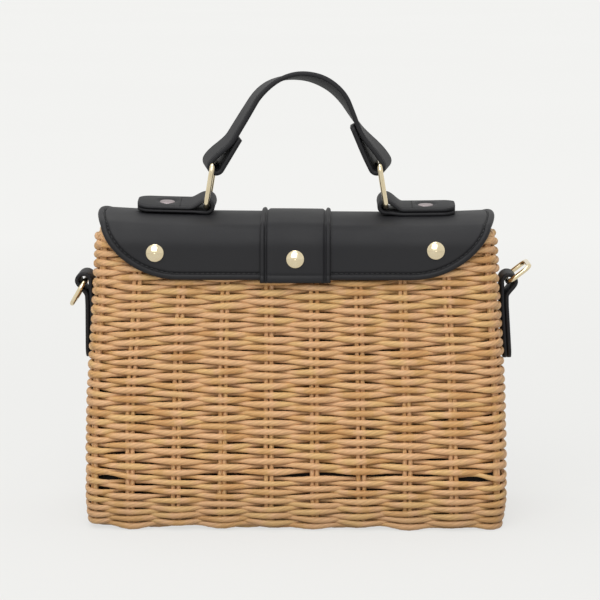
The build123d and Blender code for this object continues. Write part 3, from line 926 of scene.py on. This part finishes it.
def on_crown_tab(points, side):
    """Puts a handle tab's layout on the top panel: it follows the crown and tips to the near face."""
    along, across, rise = points.T
    x = side * (tab_reach + along)
    settled = eased(np.clip(along / tab_neck, 0, 1))
    reach = across / tab_half_width
    (lift, lift_far), (stretch, stretch_far) = tab_stands[side]
    (loop_lift, loop_lift_far), (loop_stretch, loop_stretch_far) = tab_loop_stand
    flat_part = crown_sag(x) + lift + lift_far * reach + rise * (stretch + stretch_far * reach)
    loop_part = loop_lift + loop_lift_far * reach + rise * (loop_stretch + loop_stretch_far * reach)
    height = tab_seat + settled * flat_part + (1 - settled) * loop_part - across**2 / crown_radius / 2
    return np.column_stack([x, across, height])


def handle_tab(name, side, material, thread, disc_material):
    """A tab on the top panel, folded round its ring, with its rivet and a row of stitches."""
    points, faces, top = folded_tab(
        tab_thickness, tab_loop_radius, tab_neck, tab_length, tab_half_width, tab_rivet_place
    )
    tab = new_piece(f"{name}_handle_tab_leather", on_crown_tab(points, side), faces, material)
    points, faces = rivet_disc(tab_rivet_place, top - dimple_depth)
    disc = new_piece(f"{name}_handle_tab_disc", on_crown_tab(points, side), faces, disc_material)
    reach = tab_half_width - cross_stitch_inset
    across = np.arange(-reach, reach, cross_stitch_pitch)
    count = len(across)
    level = np.full(count, top + cross_stitch_lift)
    places = on_crown_tab(np.column_stack([np.full(count, tab_cross_stitch), across, level]), side)
    tip = tab_stands[side][1][1] * top / tab_half_width
    along = np.tile(unit(np.array([0, 1, tip])), (count, 1))
    up = np.tile(unit(np.array([0, -tip, 1])), (count, 1))
    label = f"{name}_handle_tab_stitches"
    stitches = beads(label, places, along, up, cross_stitch_length, cross_stitch_radius, thread)
    return tab, stitches, disc


side_tab_height = 131
side_wall = half_sizes(side_tab_height)[0]
side_lean = math.atan2(base_half_width - rim_half_width, rim_height)
side_tab_thickness = 2.2
side_tab_half_width = 10
side_tab_length = 43
side_tab_neck = 8.4
side_tab_loop_radius = 2.7
side_tab_rivet_place = 22
# The loop hugs its ring, so the lower layer leaves the wall there; further down the left tab beds into
# the weave and the right one stands off it
side_loop_stand = 0.55
side_loop_reach = 15
side_tab_leans = {-1: -0.03, 1: 0.03}


def side_tab(name, side, material, disc_material):
    """A tab on a side wall with the loop for a strap ring at its upper end, and its rivet."""
    down = np.array([side * math.sin(side_lean), 0, -math.cos(side_lean)])
    out = np.array([side * math.cos(side_lean), 0, math.sin(side_lean)])
    foot = np.array([side * side_wall, 0, side_tab_height])

    def placed(points):
        along, across, rise = points.T
        stand = side_loop_stand * eased(np.clip(1 - along / side_loop_reach, 0, 1))
        rise = rise + stand + side_tab_leans[side] * np.clip(along, 0, None)
        return foot + along[:, None] * down + across[:, None] * np.array([0, 1, 0]) + rise[:, None] * out

    points, faces, top = folded_tab(
        side_tab_thickness, side_tab_loop_radius, side_tab_neck, side_tab_length, side_tab_half_width,
        side_tab_rivet_place,
    )
    tab = new_piece(f"{name}_side_tab_leather", placed(points), faces, material)
    points, faces = rivet_disc(side_tab_rivet_place, top - dimple_depth)
    return tab, new_piece(f"{name}_side_tab_disc", placed(points), faces, disc_material)


strap_thickness = 2.6
strap_half_width = 10.5
strap_slit = 0.2
strap_loop_radius = 2.3
strap_tail = 26
strap_closing = 1.5
# The folded ends were cut by eye, the left one shorter
strap_tails = (19.5, 25.5)
strap_straight = 10.7
strap_open_offset = 0.4
strap_rises = (math.radians(58.5), math.radians(62))
ring_lean = math.radians(9.3)
ring_height = 22.8
handle_pivot_height = 172.9
# How far the outer face turns towards the viewer along the handle, in degrees, by share of its length
handle_turns = (
    (0, 13), (0.12, 12), (0.25, 11), (0.36, 7), (0.49, -9), (0.6, -15), (0.7, -13), (0.8, -3), (0.9, 9),
    (1, 13),
)
turn_smoothing = 9
strap_tail_points = 12


def strap_feet():
    """At each ring: where the strap's fold starts, the way up its leg and the way out."""
    feet = []
    for side, rise, offset in ((-1, strap_rises[0], 0), (1, strap_rises[1], strap_open_offset)):
        bar_x = side * (tab_reach - math.sin(ring_lean) * ring_height + offset)
        bar_z = handle_pivot_height + math.cos(ring_lean) * ring_height
        leg = np.array([-side * math.cos(rise), math.sin(rise)])
        outward = np.array([side * math.sin(rise), math.cos(rise)])
        start = np.array([bar_x, bar_z]) - outward * (strap_thickness + strap_loop_radius)
        feet.append((start, leg, outward))
    return feet


def strap_arch(feet):
    """The strap's outer layer from ring to ring: a straight leg, a round top and a straight leg."""
    outer_lift = strap_thickness * 1.5 + strap_slit
    left, right = (start + outward * outer_lift for start, _, outward in feet)
    up_left, up_right = (leg for _, leg, _ in feet)
    apart = right - left
    cross = up_left[0] * up_right[1] - up_left[1] * up_right[0]
    run = (apart[0] * up_right[1] - apart[1] * up_right[0]) / cross
    peak = left + up_left * run
    half_turn = sum(strap_rises) / 2
    tangent = min(run, np.linalg.norm(peak - right)) - strap_tail - strap_straight
    radius = tangent / math.tan(half_turn)
    leave = peak - up_left * tangent
    meet = peak - up_right * tangent
    centre = leave + np.array([up_left[1], -up_left[0]]) * radius
    angle = math.atan2(up_left[0], -up_left[1]) - 2 * half_turn * np.linspace(0, 1, 60)
    arc = centre + radius * np.column_stack([np.cos(angle), np.sin(angle)])
    share = np.linspace(0, 1, 24)[:, None]
    return np.concatenate([left + share[:-1] * (leave - left), arc, meet + share[1:] * (right - meet)])


def turned(points, axis, angle):
    """Points turned round an axis through the origin."""
    axis = np.broadcast_to(axis, points.shape)
    inline = (points * axis).sum(-1, keepdims=True)
    cosine = np.cos(angle)
    return points * cosine + np.cross(axis, points) * np.sin(angle) + axis * inline * (1 - cosine)


def handle_strap(material):
    """The handle: a strap over the top, bowed out round a ring at each end and folded back inside."""
    feet = strap_feet()
    arch = strap_arch(feet)
    gone = along_line(arch)
    ends = []
    climbs = []
    for (start, leg, outward), length in zip(feet, strap_tails):
        fold = fold_line(strap_thickness, strap_slit, strap_loop_radius, length - strap_closing)
        tail = np.linspace(length, 0, strap_tail_points)[:-1]
        whole = np.concatenate([np.column_stack([tail, np.full(len(tail), strap_thickness / 2)]), fold])
        ends.append(start + whole[:, :1] * leg + whole[:, 1:] * outward)
        climbs.append(np.clip(whole[:, 0], 0, None))
    single = (gone > strap_tails[0]) & (gone < gone[-1] - strap_tails[1])
    line = np.concatenate([ends[0], arch[single], ends[1][::-1]])
    place = np.concatenate([climbs[0], gone[single], gone[-1] - climbs[1][::-1]])
    count = len(line)
    across = np.tile([0, 1.0, 0], (count, 1))
    up = upright(level_normals(line))
    half_widths = np.full(count, strap_half_width)
    points, around = strap_points(upright(line), across, up, half_widths, strap_thickness)
    shares, turns = zip(*handle_turns)
    turn = np.pad(np.interp(place / gone[-1], shares, turns), turn_smoothing // 2, mode="edge")
    turn = np.radians(np.convolve(turn, np.ones(turn_smoothing) / turn_smoothing, mode="valid"))
    heading = unit(np.gradient(arch, axis=0))
    axis = unit(upright(np.column_stack([np.interp(place, gone, heading[:, k]) for k in (0, 1)])))
    foot = upright(at_distances(arch, place))[:, None, :]
    points = points.reshape(count, around, 3) - foot
    points = turned(points, axis[:, None, :], turn[:, None, None]) + foot
    return new_piece("handle_strap", points.reshape(-1, 3), tube_faces(count, around), material)


# Materials
def paper_cord():
    """Kraft paper twisted into cord: matte honey with rose and straw lengths, with painted shade in its
    creases and towards its foot.
    """
    material, tree = new_material("twisted_paper_cord")
    # The fibres' places are already in lengths of a streak, so the noise keeps its unit scale
    streak_depth = 0.25 * mm
    # The photo's lowest rows are darker than this light makes them, so the colour itself is darkened there
    foot_shade_low = 6 * mm
    foot_shade_high = 30 * mm
    tone = add_node(tree, "ShaderNodeAttribute", attribute_name="cord_tone")
    crease = add_node(tree, "ShaderNodeAttribute", attribute_name="crease")
    place = add_node(tree, "ShaderNodeAttribute", attribute_name="fibre_place")
    streak = add_node(tree, "ShaderNodeTexNoise", {"Scale": 1.0, "Detail": 3.0},
                      {"Vector": place.outputs["Vector"]})
    hue = add_node(tree, "ShaderNodeValToRGB", links={"Fac": tone.outputs["Fac"]}, stops=(
        (0.0, linear("C9975F")), (1.0, linear("E0BC7E")), (0.3, linear("D6A873")),
        (0.55, linear("DCAE80")), (0.78, linear("D9B075")),
    ))
    shade = add_node(tree, "ShaderNodeMapRange", {
        "From Min": 0.3, "From Max": 0.7, "To Min": 0.88, "To Max": 1.08,
    }, {"Value": streak.outputs["Fac"]})
    point = add_node(tree, "ShaderNodeTexCoord")
    height = add_node(tree, "ShaderNodeSeparateXYZ", links={"Vector": point.outputs["Object"]})
    # Painted shade: the colour is darkened to 0.8 below 6 mm, fading out by 30 mm up.
    foot = add_node(tree, "ShaderNodeMapRange", {
        "From Min": foot_shade_low, "From Max": foot_shade_high, "To Min": 0.8, "To Max": 1.0,
    }, {"Value": height.outputs["Z"]})
    shaded = add_node(tree, "ShaderNodeMath", links={0: shade.outputs["Result"], 1: foot.outputs["Result"]},
                      operation="MULTIPLY")
    streaked = add_node(tree, "ShaderNodeMix", {0: 1.0}, {6: hue.outputs["Color"], 7: shaded.outputs[0]},
                        data_type="RGBA", blend_type="MULTIPLY")
    # Painted shade: the creases' points are mixed 22 % towards dark brown 6A431F.
    depth = add_node(tree, "ShaderNodeMath", {1: 0.22}, {0: crease.outputs["Fac"]}, operation="MULTIPLY")
    colour = add_node(tree, "ShaderNodeMix", {7: linear("6A431F")},
                      {0: depth.outputs[0], 6: streaked.outputs[2]}, data_type="RGBA")
    bump = add_node(tree, "ShaderNodeBump", {"Strength": 0.5, "Distance": streak_depth},
                    {"Height": streak.outputs["Fac"]})
    shader = add_node(tree, "ShaderNodeBsdfPrincipled", {"Roughness": 0.55, "IOR": 1.5},
                      {"Base Color": colour.outputs[2], "Normal": bump.outputs["Normal"]})
    show(tree, shader)
    return material


def lining_cotton():
    """Plain-woven black-brown cotton: dull, with a fine thread grid."""
    material, tree = new_material("plain_woven_cotton")
    # The threads are taken as 0.9 mm apart; a wave node repeats after pi / 10 over its scale, so this
    # draws them about six times coarser, and they show
    thread_pitch = 0.9 * mm
    thread_depth = 0.2 * mm
    place = add_node(tree, "ShaderNodeTexCoord")
    warp, weft = (
        add_node(tree, "ShaderNodeTexWave", {"Scale": 1 / thread_pitch / 20},
                 {"Vector": place.outputs["Object"]}, bands_direction=direction)
        for direction in ("X", "Z")
    )
    weave = add_node(tree, "ShaderNodeMath", links={0: warp.outputs["Fac"], 1: weft.outputs["Fac"]},
                     operation="MULTIPLY")
    colour = add_node(tree, "ShaderNodeMix", {6: linear("1C1814"), 7: linear("332C25")},
                      {0: weave.outputs[0]}, data_type="RGBA")
    bump = add_node(tree, "ShaderNodeBump", {"Strength": 0.4, "Distance": thread_depth},
                    {"Height": weave.outputs[0]})
    shader = add_node(tree, "ShaderNodeBsdfPrincipled", {"Roughness": 0.9},
                      {"Base Color": colour.outputs[2], "Normal": bump.outputs["Normal"]})
    show(tree, shader)
    return material


def black_leather():
    """Coated cowhide, plated smooth and dyed black: a soft satin glow over a very fine pebble."""
    material, tree = new_material("satin_black_cowhide")
    # The real pebble is taken as about 0.4 mm; it is drawn at 0.9 mm so that it shows
    pebble = 0.9 * mm
    pebble_depth = 0.07 * mm
    gloss_patch = 28 * mm
    place = add_node(tree, "ShaderNodeTexCoord")
    grain = add_node(tree, "ShaderNodeTexVoronoi", {"Scale": 1 / pebble}, {"Vector": place.outputs["Object"]},
                     feature="SMOOTH_F1")
    cloud = add_node(tree, "ShaderNodeTexNoise", {"Scale": 1 / gloss_patch, "Detail": 4.0},
                     {"Vector": place.outputs["Object"]})
    gloss = add_node(tree, "ShaderNodeMapRange", {
        "From Min": 0.3, "From Max": 0.7, "To Min": 0.56, "To Max": 0.66,
    }, {"Value": cloud.outputs["Fac"]})
    colour = add_node(tree, "ShaderNodeMix", {6: linear("161618"), 7: linear("1C1C1F")},
                      {0: cloud.outputs["Fac"]}, data_type="RGBA")
    bump = add_node(tree, "ShaderNodeBump", {"Strength": 0.35, "Distance": pebble_depth},
                    {"Height": grain.outputs["Distance"]})
    shader = add_node(tree, "ShaderNodeBsdfPrincipled", {"IOR": 1.5, "Specular IOR Level": 0.28}, {
        "Base Color": colour.outputs[2], "Roughness": gloss.outputs["Result"],
        "Normal": bump.outputs["Normal"],
    })
    show(tree, shader)
    return material


def black_thread():
    """Waxed polyester thread: black with the twist of its strands."""
    material, tree = new_material("waxed_black_thread")
    strand = 0.6 * mm
    place = add_node(tree, "ShaderNodeTexCoord")
    twist = add_node(tree, "ShaderNodeTexNoise", {"Scale": 1 / strand}, {"Vector": place.outputs["Object"]})
    colour = add_node(tree, "ShaderNodeMix", {6: linear("0B0B0C"), 7: linear("1C1C1F")},
                      {0: twist.outputs["Fac"]}, data_type="RGBA")
    shader = add_node(tree, "ShaderNodeBsdfPrincipled", {"Roughness": 0.6}, {"Base Color": colour.outputs[2]})
    show(tree, shader)
    return material


def gold_plating():
    """Brass with polished pale gold plating: clear reflections, softened a little by handling."""
    material, tree = new_material("polished_pale_gold_plating")
    worn_patch = 3 * mm
    place = add_node(tree, "ShaderNodeTexCoord")
    wear = add_node(tree, "ShaderNodeTexNoise", {"Scale": 1 / worn_patch, "Detail": 3.0},
                    {"Vector": place.outputs["Object"]})
    gloss = add_node(tree, "ShaderNodeMapRange", {
        "From Min": 0.3, "From Max": 0.7, "To Min": 0.12, "To Max": 0.24,
    }, {"Value": wear.outputs["Fac"]})
    colour = add_node(tree, "ShaderNodeMix", {6: linear("D6C49E"), 7: linear("E6DABD")},
                      {0: wear.outputs["Fac"]}, data_type="RGBA")
    shader = add_node(tree, "ShaderNodeBsdfPrincipled", {"Metallic": 1.0},
                      {"Base Color": colour.outputs[2], "Roughness": gloss.outputs["Result"]})
    show(tree, shader)
    return material


def dull_rivet():
    """Rose-grey plated rivet face, rubbed dull below the leather."""
    material, tree = new_material("dull_rose_grey_plating")
    worn_patch = 1.5 * mm
    place = add_node(tree, "ShaderNodeTexCoord")
    wear = add_node(tree, "ShaderNodeTexNoise", {"Scale": 1 / worn_patch, "Detail": 4.0},
                    {"Vector": place.outputs["Object"]})
    colour = add_node(tree, "ShaderNodeMix", {6: linear("8C8183"), 7: linear("A89EA0")},
                      {0: wear.outputs["Fac"]}, data_type="RGBA")
    shader = add_node(tree, "ShaderNodeBsdfPrincipled", {"Metallic": 1.0, "Roughness": 0.45},
                      {"Base Color": colour.outputs[2]})
    show(tree, shader)
    return material


def nickel_steel():
    """Nickel-plated steel of the catch: grey, with a finely mottled shine."""
    material, tree = new_material("nickel_plated_steel")
    mark = 0.8 * mm
    place = add_node(tree, "ShaderNodeTexCoord")
    marks = add_node(tree, "ShaderNodeTexNoise", {"Scale": 1 / mark, "Detail": 2.0},
                     {"Vector": place.outputs["Object"]})
    gloss = add_node(tree, "ShaderNodeMapRange", {"To Min": 0.25, "To Max": 0.45},
                     {"Value": marks.outputs["Fac"]})
    colour = add_node(tree, "ShaderNodeMix", {6: linear("A7A7A8"), 7: linear("C2C2C3")},
                      {0: marks.outputs["Fac"]}, data_type="RGBA")
    shader = add_node(tree, "ShaderNodeBsdfPrincipled", {"Metallic": 1.0},
                      {"Base Color": colour.outputs[2], "Roughness": gloss.outputs["Result"]})
    show(tree, shader)
    return material


def background_rays(tree):
    """One for rays that see the background straight, in a reflection or through something clear."""
    ray = add_node(tree, "ShaderNodeLightPath")
    either = add_node(tree, "ShaderNodeMath", links={
        0: ray.outputs["Is Camera Ray"], 1: ray.outputs["Is Glossy Ray"],
    }, operation="MAXIMUM")
    return add_node(tree, "ShaderNodeMath", links={
        0: either.outputs[0], 1: ray.outputs["Is Transmission Ray"],
    }, operation="MAXIMUM")


def studio_paper():
    """White studio paper: a soft pale grey, slightly uneven, that shows the bag's shadow faintly."""
    material, tree = new_material("pale_studio_paper")
    # The photo's background pales upwards, so the paper's own glow grows over this many metres behind the bag
    paling = 1.2
    place = add_node(tree, "ShaderNodeTexCoord")
    cloud = add_node(tree, "ShaderNodeTexNoise", {"Scale": 0.8}, {"Vector": place.outputs["Object"]})
    colour = add_node(tree, "ShaderNodeMix", {6: linear("F6F6F4"), 7: linear("F8F8F6")},
                      {0: cloud.outputs["Fac"]}, data_type="RGBA")
    lit = add_node(tree, "ShaderNodeBsdfPrincipled", {
        "Base Color": linear("C4C4C3"), "Roughness": 0.9, "Specular IOR Level": 0.1,
    })
    glow = add_node(tree, "ShaderNodeEmission", {"Strength": 1.0}, {"Color": colour.outputs[2]})
    seen = background_rays(tree)
    depth = add_node(tree, "ShaderNodeSeparateXYZ", links={"Vector": place.outputs["Object"]})
    pale = add_node(tree, "ShaderNodeMapRange", {
        "From Min": 0.0, "From Max": paling, "To Min": 0.72, "To Max": 0.93,
    }, {"Value": depth.outputs["Y"]})
    share = add_node(tree, "ShaderNodeMath", links={0: seen.outputs[0], 1: pale.outputs["Result"]},
                     operation="MULTIPLY")
    shader = add_node(tree, "ShaderNodeMixShader", links={
        0: share.outputs[0], 1: lit.outputs[0], 2: glow.outputs[0],
    })
    show(tree, shader)
    return material


# The dressed bag
cord = paper_cord()
cotton = lining_cotton()
leather = black_leather()
thread = black_thread()
gold = gold_plating()
rivet_face = dull_rivet()
steel = nickel_steel()

band_starts = (0, lower_rows, 30, 47, lower_rows + upper_rows)
band_names = ("weave_foot", "weave_lower", "weave_middle", "weave_upper")
for name, first_row, end_row in zip(band_names, band_starts, band_starts[1:]):
    weave = weave_band(name, range(first_row, end_row), cord)
    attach(weave, "basket")
    if first_row == 0:
        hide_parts("basket")
for piece in (stake_cords(cord), rim_border(cord), base_weave(cord)):
    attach(piece, "basket")
sack = lining_sack(cotton)
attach(sack, "basket")
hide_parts("lining")

sheet = leather_cover(leather)
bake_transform(sheet)
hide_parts("rear_apron", "cover")
stitches = cover_stitches(thread)
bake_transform(stitches)
band = centre_band(leather)
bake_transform(band)
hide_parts("rear_band", "cover_band")

for name, side in (("left", -1), ("right", 1)):
    tab, tab_stitches, disc = handle_tab(name, side, leather, thread, rivet_face)
    for piece in (tab, tab_stitches, disc):
        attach(piece, "cover")
    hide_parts(f"{name}_handle_tab")
    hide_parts(f"{name}_handle_tab_rivet")
    tab, disc = side_tab(name, side, leather, gold)
    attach(tab, "basket")
    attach(disc, "basket")
    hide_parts(f"{name}_side_tab")
    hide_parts(f"{name}_side_tab_rivet")
strap = handle_strap(leather)
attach(strap, "handle")
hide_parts("handle")

finishes = {"pale_gold": gold, "rivet_flat": rivet_face, "catch_steel": steel}
for part in frame["record"]["subparts"]:
    if part["material_slot"] in finishes:
        solid = frame["nodes"][part["node"]]
        solid.data.materials.clear()
        solid.data.materials.append(finishes[part["material_slot"]])


# Studio, with sizes and places in metres and powers in watts
floor_half = 20
light_aim = Vector((0, 0, 0.1))
overhead_place = Vector((-0.1, 0.1, 1.5))
overhead_size = 0.9
overhead_power = 6
front_place = Vector((-0.3, -1.35, 1.35))
front_size = 1.5
front_power = 23.5
camera_turn = math.radians(0.8)
camera_rise = math.radians(9)
camera_distance = 1.2
camera_aim = Vector((0.0020, 0, 0.1195))
camera_sight = 100
# Lens and sensor in millimetres
camera_lens = 130
camera_sensor = 36


def area_light(name, place, size, power):
    """A soft square lamp."""
    lamp = bpy.data.lights.new(name, "AREA")
    lamp.shape = "SQUARE"
    lamp.size = size
    lamp.energy = power
    holder = bpy.data.objects.new(name, lamp)
    holder.location = place
    holder.rotation_euler = (light_aim - place).to_track_quat("-Z", "Y").to_euler()
    bpy.context.collection.objects.link(holder)


def studio_air():
    """The room's light: pale where the background is seen, and brighter from above than from the sides."""
    world = bpy.data.worlds.new("studio_air")
    world.use_nodes = True
    tree = world.node_tree
    tree.nodes.clear()
    place = add_node(tree, "ShaderNodeTexCoord")
    rise = add_node(tree, "ShaderNodeSeparateXYZ", links={0: place.outputs["Generated"]})
    sky = add_node(tree, "ShaderNodeMapRange", {"To Min": 0.34, "To Max": 0.85}, {"Value": rise.outputs["Z"]})
    seen = background_rays(tree)
    level = add_node(tree, "ShaderNodeMix", {3: 1.0}, {0: seen.outputs[0], 2: sky.outputs["Result"]},
                     data_type="FLOAT")
    air = add_node(tree, "ShaderNodeBackground", {"Color": linear("FAFAF8")}, {"Strength": level.outputs[0]})
    add_node(tree, "ShaderNodeOutputWorld", links={"Surface": air.outputs[0]})
    bpy.context.scene.world = world


floor_corners = np.array([(-1, -1, 0), (1, -1, 0), (1, 1, 0), (-1, 1, 0)]) * floor_half / mm
floor = new_piece("studio_floor", floor_corners, [[0, 1, 2, 3]], studio_paper())
area_light("overhead_softbox", overhead_place, overhead_size, overhead_power)
area_light("front_softbox", front_place, front_size, front_power)
studio_air()

camera_data = bpy.data.cameras.new("photo_camera")
camera_data.lens = camera_lens
camera_data.sensor_width = camera_sensor
camera_data.clip_end = camera_sight
camera = bpy.data.objects.new("photo_camera", camera_data)
away = Vector((
    math.sin(camera_turn) * math.cos(camera_rise), -math.cos(camera_turn) * math.cos(camera_rise),
    math.sin(camera_rise),
))
camera.location = camera_aim + away * camera_distance
camera.rotation_euler = (-away).to_track_quat("-Z", "Y").to_euler()
bpy.context.collection.objects.link(camera)
bpy.context.scene.camera = camera
bpy.context.scene.view_settings.view_transform = "Standard"
